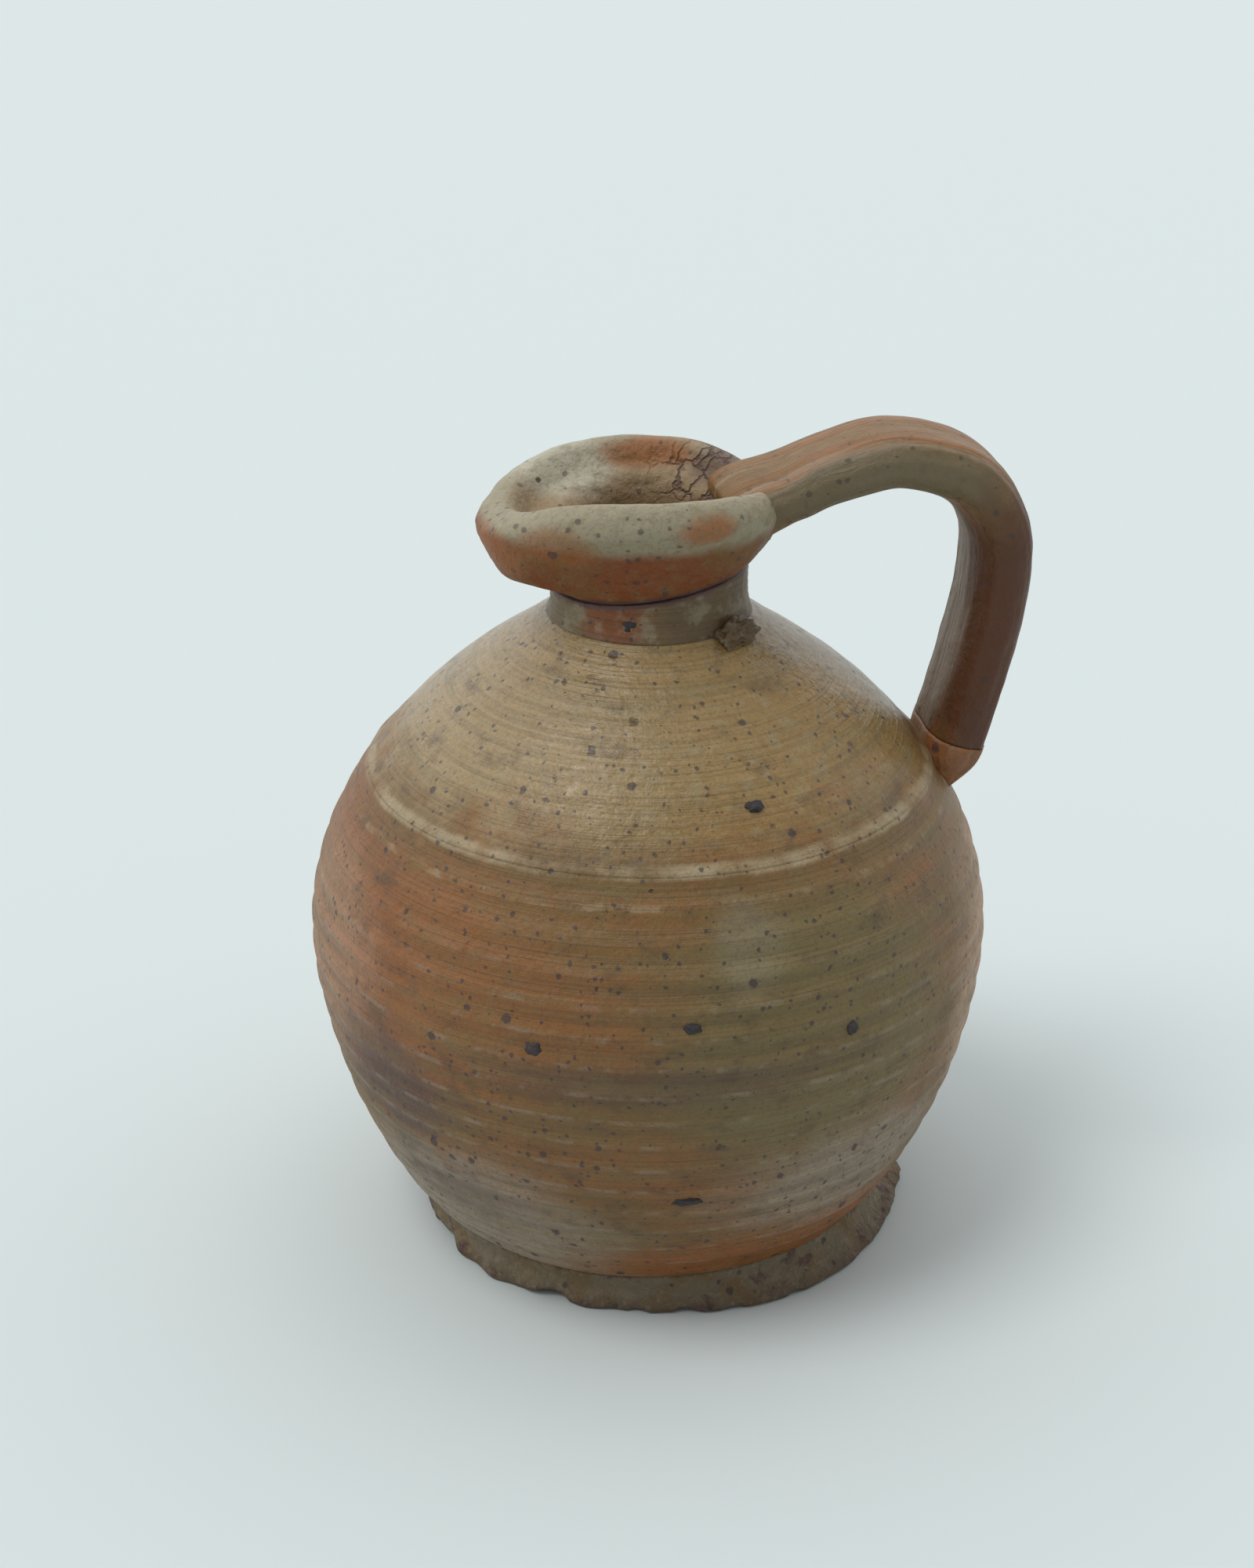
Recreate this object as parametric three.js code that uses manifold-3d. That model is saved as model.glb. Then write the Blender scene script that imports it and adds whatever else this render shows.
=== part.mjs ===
// A squat stoneware jug with a pinched spout and a pulled strap handle.
// Millimetres, +Z up. The origin is the middle of the flat foot.
// The handle points along +X and the spout along -X.

import * as THREE from 'three';
import { mergeVertices } from 'three/addons/utils/BufferGeometryUtils.js';
import Module from 'manifold-3d';

const wasm = await Module();
wasm.setup();

// Thrown body
const bellyRadius = 90;
const bellyHeight = 84;
const waistRadius = 60;
const waistHeight = 7;
const baseRadius = 55;
const wall = 6.5;
const floorThickness = 9;
const lowerFlare = 16;
const lowerFlareRise = 11;
const bellyRunBelow = 26;
const bellyRunAbove = 55;
const shoulderSlope = 3;

// Lute line, where the thrown shoulder was set on the thrown bowl
const luteHeight = 131;
const luteRise = 5;

// Neck collar and the seats at its two ends
const neckRadius = 25;
const neckBore = 19;
const neckBaseHeight = 172;
const neckHeight = 10;
const spigotThickness = 3;
const spigotDepth = 4;
const mouthTilt = 0.129;

// Mouth, from its seat on the neck to the crest of its rolled rim
const rimCrestRadius = 28.5;
const rimCrestHeight = 208;
const rollDepth = 12;
const rollBulge = 4.5;
const throatRadius = 17.5;
const throatHeight = 193;
const spoutReach = 10.3;
const spoutDrop = 7.5;
const rimDipAtHandle = 5;

// Strap handle
const strapWidth = 30;
const strapThickness = 12;
const strapLowerThickness = 16.5;
const strapTwist = 10;
const handleReach = 91;
const handleCrown = 210.5;
const handleEndHeight = 133;
const padLength = 13;

// Foot ring, pinched out by thumb
const footRadius = 67;
const footOffset = 4;
const footThickness = 9;
const thumbMarks = 28;
const thumbDepth = 0.7;

// Clay lump left at the foot of the neck
const lumpSize = new THREE.Vector3(6.5, 4, 4.2);
const lumpAngle = -46;
const lumpHeight = 170.5;

// Space between two pieces of clay that touch
const clearance = 0.3;

// Grit stones that show at the surface: host wall, direction, height, width and height of the stone
const stones = [
  { name: 'neck_stone', host: 'neck_collar', angle: -110, height: 175.5, width: 5, tall: 4 },
  { name: 'shoulder_stone', host: 'shoulder_dome', angle: -75, height: 142, width: 5, tall: 3.6 },
  { name: 'belly_stone_left', host: 'body_bowl', angle: -117, height: 91, width: 5.4, tall: 5.4 },
  { name: 'belly_stone_middle', host: 'body_bowl', angle: -92, height: 98, width: 4.8, tall: 3.4 },
  { name: 'belly_stone_right', host: 'body_bowl', angle: -65, height: 91, width: 3.4, tall: 5.4 },
  { name: 'low_stone', host: 'body_bowl', angle: -92, height: 46, width: 8.5, tall: 3.4 },
];
const stoneDepth = 3.4;

const segments = 48;
const curveSteps = 8;

const turn = Math.PI * 2;
const radians = THREE.MathUtils.degToRad;

// One closed body from rings of points: capped at both ends, or joined end to end.
function loft(rings, joined) {
  const count = rings[0].length;
  const positions = rings.flat().flatMap((p) => [p.x, p.y, p.z]);
  const faces = [];
  const last = joined ? rings.length : rings.length - 1;
  for (let i = 0; i < last; i++) {
    const below = i * count;
    const above = ((i + 1) % rings.length) * count;
    for (let j = 0; j < count; j++) {
      const next = (j + 1) % count;
      faces.push(below + j, below + next, above + next);
      faces.push(below + j, above + next, above + j);
    }
  }
  if (!joined) {
    const top = (rings.length - 1) * count;
    for (let j = 1; j < count - 1; j++) {
      faces.push(0, j + 1, j);
      faces.push(top, top + j, top + j + 1);
    }
  }
  const geometry = new THREE.BufferGeometry();
  geometry.setAttribute('position', new THREE.Float32BufferAttribute(positions, 3));
  geometry.setIndex(faces);
  return facingOut(geometry);
}

// Turns the faces round where the signed volume comes out negative.
function facingOut(geometry) {
  const p = geometry.attributes.position;
  const index = geometry.index.array;
  const corner = (n) => new THREE.Vector3().fromBufferAttribute(p, index[n]);
  let volume = 0;
  for (let i = 0; i < index.length; i += 3) {
    volume += corner(i).dot(corner(i + 1).cross(corner(i + 2)));
  }
  if (volume < 0) {
    for (let i = 0; i < index.length; i += 3) {
      [index[i + 1], index[i + 2]] = [index[i + 2], index[i + 1]];
    }
  }
  return geometry;
}

// A ring-shaped body whose closed cross-section, [radius, height] points, may change with direction.
function ringBody(section, count = segments) {
  const rings = [];
  for (let i = 0; i < count; i++) {
    const angle = (i / count) * turn;
    rings.push(section(angle).map(([r, z]) => (
      new THREE.Vector3(r * Math.cos(angle), r * Math.sin(angle), z)
    )));
  }
  return loft(rings, true);
}

// A turned body whose profile starts and ends on the axis or closes on itself.
function turned(profile) {
  const geometry = new THREE.LatheGeometry(profile, segments);
  geometry.rotateX(Math.PI / 2);
  return geometry;
}

function solid(geometry) {
  const bare = geometry.clone();
  bare.deleteAttribute('normal');
  bare.deleteAttribute('uv');
  const merged = mergeVertices(bare, 0.0001);
  const kept = [];
  const index = merged.index.array;
  for (let i = 0; i < index.length; i += 3) {
    const [a, b, c] = [index[i], index[i + 1], index[i + 2]];
    if (a !== b && b !== c && a !== c) kept.push(a, b, c);
  }
  merged.setIndex(kept);
  facingOut(merged);
  return new wasm.Manifold(new wasm.Mesh({
    numProp: 3,
    vertProperties: new Float32Array(merged.attributes.position.array),
    triVerts: new Uint32Array(merged.index.array),
  }));
}

function geometryOf(body) {
  const mesh = body.getMesh();
  const geometry = new THREE.BufferGeometry();
  geometry.setAttribute('position', new THREE.BufferAttribute(mesh.vertProperties, 3));
  geometry.setIndex(new THREE.BufferAttribute(mesh.triVerts, 1));
  return geometry;
}

// Outline of the thrown body, foot to neck, as two curves that meet upright at the belly
const lowerCurve = new THREE.CubicBezierCurve(
  new THREE.Vector2(waistRadius, waistHeight),
  new THREE.Vector2(waistRadius + lowerFlare, waistHeight + lowerFlareRise),
  new THREE.Vector2(bellyRadius, bellyHeight - bellyRunBelow),
  new THREE.Vector2(bellyRadius, bellyHeight),
);
const upperCurve = new THREE.CubicBezierCurve(
  new THREE.Vector2(bellyRadius, bellyHeight),
  new THREE.Vector2(bellyRadius, bellyHeight + bellyRunAbove),
  new THREE.Vector2(neckRadius + shoulderSlope, neckBaseHeight - shoulderSlope),
  new THREE.Vector2(neckRadius + clearance, neckBaseHeight),
);

// Point of the wall level with a height on the outer face, and set inward from that face
function wallPoint(height, inward) {
  const curve = height < bellyHeight ? lowerCurve : upperCurve;
  let [low, high] = [0, 1];
  for (let i = 0; i < 40; i++) {
    const middle = (low + high) / 2;
    if (curve.getPoint(middle).y < height) low = middle;
    else high = middle;
  }
  const point = curve.getPoint(low);
  const along = curve.getTangent(low);
  return new THREE.Vector2(point.x - along.y * inward, point.y + along.x * inward);
}

function wallPoints(from, to, inward, steps) {
  const points = [];
  for (let i = 0; i <= steps; i++) points.push(wallPoint(from + ((to - from) * i) / steps, inward));
  return points;
}

function bodyBowl() {
  const outside = wallPoints(waistHeight, luteHeight, 0, curveSteps * 2);
  const seat = wallPoint(luteHeight + luteRise, wall);
  const inside = wallPoints(waistHeight + floorThickness, luteHeight, wall, curveSteps).reverse();
  return turned([
    new THREE.Vector2(0, 0),
    new THREE.Vector2(baseRadius, 0),
    ...outside,
    seat,
    ...inside,
    new THREE.Vector2(baseRadius, floorThickness),
    new THREE.Vector2(0, floorThickness),
  ]);
}

function shoulderDome() {
  const lift = new THREE.Vector2(0, clearance * 1.4);
  const top = neckBaseHeight;
  const outside = wallPoints(luteHeight, top - clearance, 0, curveSteps + 4);
  outside[0].add(lift);
  const rebate = neckBore + spigotThickness + clearance;
  const inside = wallPoints(luteHeight + luteRise, top - spigotDepth - wall, wall, curveSteps - 2);
  inside[0].add(lift);
  const profile = [
    ...outside,
    new THREE.Vector2(rebate, top - clearance),
    new THREE.Vector2(rebate, top - spigotDepth - clearance),
    new THREE.Vector2(neckBore, top - spigotDepth - clearance),
    ...inside.reverse(),
  ];
  return turned([...profile, profile[0].clone()]);
}

// Height of the sloping seam between neck and mouth, in the direction of an angle.
function seam(angle, radius) {
  return neckBaseHeight + neckHeight + mouthTilt * radius * Math.cos(angle);
}

function neckCollar() {
  const rebate = neckBore + spigotThickness + clearance;
  return ringBody((angle) => [
    [neckRadius, neckBaseHeight],
    [neckRadius, seam(angle, neckRadius)],
    [rebate, seam(angle, rebate)],
    [rebate, seam(angle, rebate) - spigotDepth - clearance],
    [neckBore, seam(angle, neckBore) - spigotDepth - clearance],
    [neckBore, neckBaseHeight - spigotDepth],
    [neckBore + spigotThickness, neckBaseHeight - spigotDepth],
    [neckBore + spigotThickness, neckBaseHeight],
  ]);
}

// Cross-section of the mouth in one direction: the rim is drawn out and down at the spout.
function mouthSection(angle, grow) {
  const towardSpout = Math.max(0, -Math.cos(angle));
  const reach = spoutReach * towardSpout ** 2.8;
  const drop = spoutDrop * towardSpout ** 5 + rimDipAtHandle * Math.max(0, Math.cos(angle)) ** 3;
  const crest = rimCrestHeight - drop;
  const spigot = neckBore + spigotThickness;
  const base = seam(angle, neckRadius) + clearance;
  const lip = rimCrestRadius + reach * 0.8;
  const underside = base + (crest - rollDepth - base) * (1 - 0.53 * towardSpout ** 5);
  return [
    [neckRadius + grow, base - grow],
    [neckRadius + 2.5 + reach * 0.35 + grow, base + (underside - base) * 0.35 - grow],
    [rimCrestRadius + 2.5 + reach * 0.7 + grow, underside - grow],
    [rimCrestRadius + rollBulge + reach + grow, crest - rollDepth * 0.6],
    [rimCrestRadius + rollBulge - 1 + reach + grow, crest - rollDepth * 0.25],
    [lip + 1 + grow * 0.5, crest + grow],
    [lip - 2.5 - grow, crest - 0.6 + grow],
    [rimCrestRadius - 5.5 + reach * 0.65 - grow, crest - 5],
    [throatRadius + 2 + reach * 0.3 - grow, (crest + throatHeight) / 2 - 1],
    [throatRadius - grow, throatHeight - drop * 0.6],
    [throatRadius - grow, seam(angle, throatRadius) - spigotDepth + clearance - grow],
    [spigot, seam(angle, spigot) - spigotDepth - grow + clearance],
    [spigot, seam(angle, spigot) + clearance - grow],
  ];
}

// Rounded strap section, wider than thick, with a shallow channel along its outer face.
function strapRing(centre, along, width, thickness, twist = 0) {
  const up = new THREE.Vector3(-along.z, 0, along.x).applyAxisAngle(along, radians(twist));
  const side = new THREE.Vector3().crossVectors(up, along);
  const points = [];
  const count = 18;
  const soft = (value, power) => Math.sign(value) * Math.abs(value) ** power;
  for (let i = 0; i < count; i++) {
    const angle = (i / count) * turn;
    const across = (width / 2) * soft(Math.cos(angle), 0.7);
    const channel = Math.sin(angle) > 0 ? 0.7 * (1 - Math.abs(Math.cos(angle))) : 0;
    const rise = (thickness / 2) * soft(Math.sin(angle), 0.75) - channel;
    points.push(centre.clone().addScaledVector(side, across).addScaledVector(up, rise));
  }
  return points;
}

// Middle line of the strap, from inside the rim, over the crown and down to the shoulder
const endRadius = wallPoint(handleEndHeight, 0).x;
const strapRoute = new THREE.CatmullRomCurve3([
  new THREE.Vector3(rimCrestRadius - 3.5, 0, rimCrestHeight - 9.5),
  new THREE.Vector3(rimCrestRadius + 7, 0, rimCrestHeight - 5.5),
  new THREE.Vector3(rimCrestRadius + 18, 0, handleCrown - 3.5),
  new THREE.Vector3(handleReach - 29, 0, handleCrown),
  new THREE.Vector3(handleReach - 11, 0, handleCrown - 6),
  new THREE.Vector3(handleReach - 1.5, 0, handleCrown - 20),
  new THREE.Vector3(handleReach - 1, 0, handleCrown - 38),
  new THREE.Vector3(handleReach - 4.5, 0, handleCrown - 56),
  new THREE.Vector3(endRadius + 9, 0, handleEndHeight),
]);
const strapSteps = 24;

function strapThicknessAt(share) {
  const root = 6 * Math.max(0, 1 - share / 0.16);
  return strapThickness + root + (strapLowerThickness - strapThickness) * Math.min(1, share / 0.6);
}

function handleStrap() {
  const rings = [];
  for (let i = 0; i <= strapSteps; i++) {
    const share = i / strapSteps;
    const along = strapRoute.getTangentAt(share);
    const twist = -strapTwist * Math.max(0, 1 - share / 0.25);
    const thickness = strapThicknessAt(share);
    rings.push(strapRing(strapRoute.getPointAt(share), along, strapWidth, thickness, twist));
  }
  return solid(loft(rings, false))
    .subtract(solid(ringBody((angle) => mouthSection(angle, clearance), segments)))
    .subtract(solid(wholeBody(clearance)));
}

// Wedge of clay pressed under the strap's end, between it and the body
function handleRootPad() {
  const along = strapRoute.getTangentAt(1);
  const start = strapRoute.getPointAt(1);
  const inward = new THREE.Vector3(-1, 0, -0.55).normalize();
  const rings = [
    { down: clearance * 1.5, aside: 0, width: strapWidth + 1, thickness: strapLowerThickness + 1 },
    { down: padLength * 0.35, aside: 0.5, width: strapWidth, thickness: strapLowerThickness },
    { down: padLength, aside: 3.5, width: strapWidth - 8, thickness: strapLowerThickness / 2 },
  ].map(({ down, aside, width, thickness }) => strapRing(
    start.clone().addScaledVector(along, down).addScaledVector(inward, aside),
    along,
    width,
    thickness,
  ));
  return solid(loft(rings, false)).subtract(solid(wholeBody(clearance)));
}

// The body's full outer form, filled and grown, which pieces set against it are cut by
function wholeBody(grow) {
  return turned([
    new THREE.Vector2(0, 0),
    new THREE.Vector2(baseRadius + grow, 0),
    ...wallPoints(waistHeight, neckBaseHeight - clearance, -grow, curveSteps * 3),
    new THREE.Vector2(neckRadius + grow, neckBaseHeight),
    new THREE.Vector2(neckRadius + grow, neckBaseHeight + neckHeight / 2),
    new THREE.Vector2(0, neckBaseHeight + neckHeight / 2),
  ]);
}

// Foot ring: it hugs the base of the bowl and flares unevenly, with thumb marks round its edge.
function footRing() {
  const foot = wallPoint(footThickness, 0).x;
  return ringBody((angle) => {
    const thumb = thumbDepth * Math.sin(thumbMarks * angle) + thumbDepth * Math.sin(5 * angle + 1);
    const edge = footRadius + footOffset * Math.cos(angle) + thumb;
    return [
      [baseRadius + clearance, 0],
      [edge - 0.5, 0],
      [edge, 1.5],
      [edge * 0.55 + foot * 0.45, footThickness * 0.5],
      [foot + clearance + 1.2, footThickness],
      [foot + clearance, footThickness],
      [waistRadius + clearance, waistHeight - clearance],
    ];
  }, thumbMarks * 3);
}

function neckLump() {
  const geometry = new THREE.IcosahedronGeometry(1, 2);
  geometry.scale(lumpSize.x, lumpSize.y, lumpSize.z);
  geometry.rotateZ(radians(lumpAngle + 90));
  const out = neckRadius + lumpSize.y * 0.4;
  geometry.translate(out * Math.cos(radians(lumpAngle)), out * Math.sin(radians(lumpAngle)), lumpHeight);
  return solid(geometry).subtract(solid(wholeBody(clearance)));
}

// A rounded stone, half sunk in its wall; grow makes the pit that holds it.
function stone({ angle, height, width, tall, host }, grow) {
  const onNeck = host === 'neck_collar';
  const radius = onNeck ? neckRadius : wallPoint(height, 0).x;
  const slope = onNeck ? 0 : Math.atan2(
    wallPoint(height - 1, 0).x - wallPoint(height + 1, 0).x,
    2,
  );
  const geometry = new THREE.IcosahedronGeometry(1, 1);
  geometry.scale(stoneDepth / 2 + grow, width / 2 + grow, tall / 2 + grow);
  geometry.rotateY(-slope);
  geometry.rotateZ(radians(angle));
  const sink = radius - stoneDepth * 0.3;
  geometry.translate(sink * Math.cos(radians(angle)), sink * Math.sin(radians(angle)), height);
  return solid(geometry);
}

function clay(name, geometry, color, roughness) {
  geometry.computeVertexNormals();
  const material = new THREE.MeshStandardMaterial({ color, roughness, metalness: 0 });
  const mesh = new THREE.Mesh(geometry, material);
  mesh.name = name;
  return mesh;
}

const walls = {
  body_bowl: { body: solid(bodyBowl()), color: 0xa5673f, roughness: 0.55 },
  shoulder_dome: { body: solid(shoulderDome()), color: 0xa07d50, roughness: 0.4 },
  neck_collar: { body: solid(neckCollar()), color: 0x96805f, roughness: 0.55 },
  mouth: { body: solid(ringBody((angle) => mouthSection(angle, 0))), color: 0x98886a, roughness: 0.6 },
  foot_ring: { body: solid(footRing()), color: 0x7d6350, roughness: 0.75 },
  handle_strap: { body: handleStrap(), color: 0xb07a4c, roughness: 0.6 },
  handle_root_pad: { body: handleRootPad(), color: 0xa85f40, roughness: 0.65 },
  neck_lump: { body: neckLump(), color: 0x8a7356, roughness: 0.65 },
};

for (const item of stones) walls[item.host].body = walls[item.host].body.subtract(stone(item, clearance));

const group = new THREE.Group();
for (const [name, { body, color, roughness }] of Object.entries(walls)) {
  group.add(clay(name, geometryOf(body), color, roughness));
}
for (const item of stones) group.add(clay(item.name, geometryOf(stone(item, 0)), 0x3f3844, 0.5));

export default group;
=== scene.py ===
# %% [markdown]
# # A wood-fired stoneware jug
# The jug was thrown in two halves that were joined with slip, given a collar, a pinched mouth,
# a pulled strap and a thumbed foot, and fired with wood. Ash glazed its shoulder and the flame
# flashed its belly orange, olive and purple. Each piece of clay is a dense mesh, worked out in
# millimetres from a few curves and made in metres, in the place of the solid it stands for.

import math

import bmesh
import bpy
import numpy as np
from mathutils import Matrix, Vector, noise


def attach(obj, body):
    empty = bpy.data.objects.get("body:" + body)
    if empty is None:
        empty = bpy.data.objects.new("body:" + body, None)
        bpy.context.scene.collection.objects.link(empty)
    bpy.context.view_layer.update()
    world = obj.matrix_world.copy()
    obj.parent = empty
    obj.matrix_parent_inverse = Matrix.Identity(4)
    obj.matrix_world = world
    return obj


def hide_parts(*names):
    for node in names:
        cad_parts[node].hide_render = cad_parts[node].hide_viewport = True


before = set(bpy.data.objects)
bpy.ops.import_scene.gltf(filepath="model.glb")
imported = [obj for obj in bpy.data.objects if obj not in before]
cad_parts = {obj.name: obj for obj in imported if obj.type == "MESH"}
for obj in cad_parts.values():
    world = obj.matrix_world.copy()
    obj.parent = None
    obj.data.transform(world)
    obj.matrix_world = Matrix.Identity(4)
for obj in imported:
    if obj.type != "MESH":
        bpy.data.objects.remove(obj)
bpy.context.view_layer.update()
MM = 0.001
print("nodes in the frame:", sorted(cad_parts))

# %% [markdown]
# The camera comes first. The photograph looks a little down on the jug from the front, with the
# handle turned slightly away, so the camera stands on a circle round the jug's axis. A long lens
# keeps the belly from bulging. Its sensor is 36 mm on the long side of the 1600 by 2000 picture.

# %% Camera at the photograph's viewing angle
CAMERA_DISTANCE = 617.8 * MM
CAMERA_HEIGHT = 408.1 * MM
HANDLE_AWAY = math.radians(9)
CAMERA_PITCH = math.radians(24.886)
CAMERA_HEADING = math.radians(8.481)
LENS = 59.4
SENSOR = 36

camera_data = bpy.data.cameras.new("photo_camera")
camera_data.sensor_fit = "AUTO"
camera_data.sensor_width = SENSOR
camera_data.lens = LENS
camera = bpy.data.objects.new("photo_camera", camera_data)
camera.location = (
    -CAMERA_DISTANCE * math.sin(HANDLE_AWAY),
    -CAMERA_DISTANCE * math.cos(HANDLE_AWAY),
    CAMERA_HEIGHT,
)
camera.rotation_euler = (math.pi / 2 - CAMERA_PITCH, 0, -CAMERA_HEADING)
bpy.context.scene.collection.objects.link(camera)
bpy.context.scene.camera = camera
print("camera at", [round(v, 3) for v in camera.location])

# %% [markdown]
# ## Sizes
# These are the potter's own sizes, in millimetres, as in the imported solids. The fine meshes are
# worked out from them, so a ridge or a thumb mark is laid over the same form as the solids.

# %% Sizes of the clay pieces, in millimetres
BELLY_RADIUS, BELLY_HEIGHT = 90, 84
WAIST_RADIUS, WAIST_HEIGHT = 60, 7
BASE_RADIUS = 55
WALL = 6.5
FLOOR = 9
LUTE_HEIGHT = 131
NECK_RADIUS, NECK_BORE = 25, 19
NECK_BASE, NECK_HEIGHT = 172, 10
SPIGOT_DEPTH = 4
MOUTH_TILT = 0.129
RIM_RADIUS, RIM_HEIGHT = 28.5, 208
ROLL_DEPTH, ROLL_BULGE = 12, 4.5
THROAT_RADIUS, THROAT_HEIGHT = 17.5, 193
SPOUT_REACH, SPOUT_DROP = 10.3, 7.5
RIM_DIP = 5
STRAP_WIDTH, STRAP_THICKNESS, STRAP_LOWER = 30, 12, 16.5
STRAP_TWIST = math.radians(10)
HANDLE_REACH, HANDLE_CROWN = 91, 210.5
HANDLE_END = 133
PAD_LENGTH = 13
FOOT_RADIUS, FOOT_OFFSET, FOOT_HEIGHT = 67, 4, 9
THUMB_MARKS, THUMB_DEPTH = 28, 0.7
TURN = 2 * math.pi
print("belly across:", 2 * BELLY_RADIUS, "mm; neck across:", 2 * NECK_RADIUS, "mm")

# %% [markdown]
# ## Making meshes
# A pot is mostly rings. One helper lays rings of points edge to edge with four-sided faces, which
# shade smoothly and take small moves well. It can join the last ring to the first, for a piece
# that runs round the axis, or close both ends, for a strap.

# %% Helpers for ring meshes
def make_piece(name, points, faces):
    mesh = bpy.data.meshes.new(name)
    mesh.from_pydata([tuple(c * MM for c in p) for p in points], [], faces)
    mesh.validate()
    mesh.polygons.foreach_set("use_smooth", [True] * len(mesh.polygons))
    piece = bpy.data.objects.new(name, mesh)
    bpy.context.scene.collection.objects.link(piece)
    return piece


def ring_mesh(name, rings, closed_round, caps=False):
    """rings: lists of points; closed_round joins the last ring to the first."""
    count = len(rings[0])
    points = [p for ring in rings for p in ring]
    faces = []
    spans = len(rings) if closed_round else len(rings) - 1
    for i in range(spans):
        low = i * count
        high = ((i + 1) % len(rings)) * count
        for j in range(count):
            k = (j + 1) % count
            faces.append((low + j, low + k, high + k, high + j))
    if caps:
        faces.append(tuple(reversed(range(count))))
        faces.append(tuple(range(len(points) - count, len(points))))
    return make_piece(name, points, faces)


def smooth_line(points, per_span):
    """A smooth open line through points, per_span steps from each to the next."""
    out = []
    last = len(points) - 1
    for i in range(last):
        before, a = points[max(i - 1, 0)], points[i]
        b, after = points[i + 1], points[min(i + 2, last)]
        for s in range(per_span):
            t = s / per_span
            out.append(tuple(
                0.5 * (2 * q + (r - p) * t + (2 * p - 5 * q + 4 * r - w) * t ** 2
                       + (3 * q - p - 3 * r + w) * t ** 3)
                for p, q, r, w in zip(before, a, b, after)
            ))
    out.append(tuple(points[last]))
    return out


def lump(x, y, z, size):
    """Smooth noise between -1 and 1; size is how wide one swelling is, in millimetres."""
    return noise.noise(Vector((x, y, z)) / size)


# %% [markdown]
# ## The thrown wall
# Two curves meet upright at the belly. The potter's fingers left a shallow spiral of ridges on
# the lower two thirds, and a raised pale line where the shoulder was luted on. Each of these
# moves the wall by less than a millimetre, yet catches the light, so it is real shape here. The
# whole face is held back a little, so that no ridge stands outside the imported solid's box.

# %% The body's outline and the marks of throwing
def bezier(p0, p1, p2, p3, count):
    t = np.linspace(0, 1, count)[:, None]
    p0, p1, p2, p3 = (np.array(p, float) for p in (p0, p1, p2, p3))
    return (1 - t) ** 3 * p0 + 3 * (1 - t) ** 2 * t * p1 + 3 * (1 - t) * t ** 2 * p2 + t ** 3 * p3


OUTLINE = np.vstack([
    bezier((WAIST_RADIUS, WAIST_HEIGHT), (WAIST_RADIUS + 16, WAIST_HEIGHT + 11),
           (BELLY_RADIUS, BELLY_HEIGHT - 26), (BELLY_RADIUS, BELLY_HEIGHT), 200),
    bezier((BELLY_RADIUS, BELLY_HEIGHT), (BELLY_RADIUS, BELLY_HEIGHT + 55),
           (NECK_RADIUS + 3, NECK_BASE - 3), (NECK_RADIUS, NECK_BASE), 200)[1:],
])
RING_SPACING = 7.6
RING_DEPTH = 0.4
RINGS_END = 121
LUTE_PROUD, LUTE_BREADTH = 0.7, 1.9
SECOND_PROUD, SECOND_BREADTH, SECOND_BELOW = 0.3, 0.9, 6.6
HELD_BACK = 0.62
print("outline:", len(OUTLINE), "points")


def wall_radius(z):
    return float(np.interp(z, OUTLINE[:, 1], OUTLINE[:, 0]))


def bump_at(z, centre, width):
    return math.exp(-(((z - centre) / width) ** 2))


def thrown(angle, z):
    """How far the outer face stands proud, in millimetres, at a direction and height."""
    r = wall_radius(z)
    x, y = r * math.cos(angle), r * math.sin(angle)
    fade = 1 / (1 + math.exp((z - RINGS_END) / 5)) * 0.85 + 0.12
    spiral = math.sin(TURN * (z / RING_SPACING + angle / TURN) + 0.6 * lump(x, y, z, 45))
    rings = RING_DEPTH * fade * spiral * (0.75 + 0.5 * lump(x, y, 3 * z, 30))
    dents = 0.45 * lump(x, y, z, 38) + 0.14 * lump(x, y, 2 * z, 9)
    lute_at = LUTE_HEIGHT + 0.8 * lump(x, y, 0, 30)
    lute = LUTE_PROUD * bump_at(z, lute_at, LUTE_BREADTH)
    second_at = LUTE_HEIGHT - SECOND_BELOW + lump(x, y, 50, 30)
    second = SECOND_PROUD * bump_at(z, second_at, SECOND_BREADTH)
    fixed_ends = min(1, (z - WAIST_HEIGHT) / 6, max(0, (NECK_BASE - z) / 6))
    return (rings + dents + lute + second - HELD_BACK) * fixed_ends


AROUND = 300


def wall_ring(angle, low, high, steps, inward=0):
    """Points of the outer or inner face between two heights, at one direction."""
    points = []
    for i in range(steps + 1):
        z = low + (high - low) * i / steps
        slope = wall_radius(z + 0.5) - wall_radius(z - 0.5)
        tilt = math.hypot(1, slope)
        if inward:
            points.append((wall_radius(z) - inward / tilt, z + inward * slope / tilt))
        else:
            proud = thrown(angle, z)
            points.append((wall_radius(z) + proud / tilt, z - proud * slope / tilt))
    return points


def around(section, count=AROUND):
    rings = []
    for i in range(count):
        angle = TURN * i / count
        rings.append([(r * math.cos(angle), r * math.sin(angle), z) for r, z in section(angle)])
    return rings


# %% [markdown]
# Bowl and shoulder were thrown apart and joined with slip while soft. Each is a closed section,
# outside and inside, taken round the axis, so the wall has its thickness everywhere. Rings can't
# close the middle of a floor, so the bowl stops at a small circle and two discs fill it.

# %% Bowl and shoulder
FLOOR_DISC = 20
BOWL_STEPS, BOWL_INSIDE_STEPS = 150, 30
SHOULDER_STEPS, SHOULDER_INSIDE_STEPS = 80, 24


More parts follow.
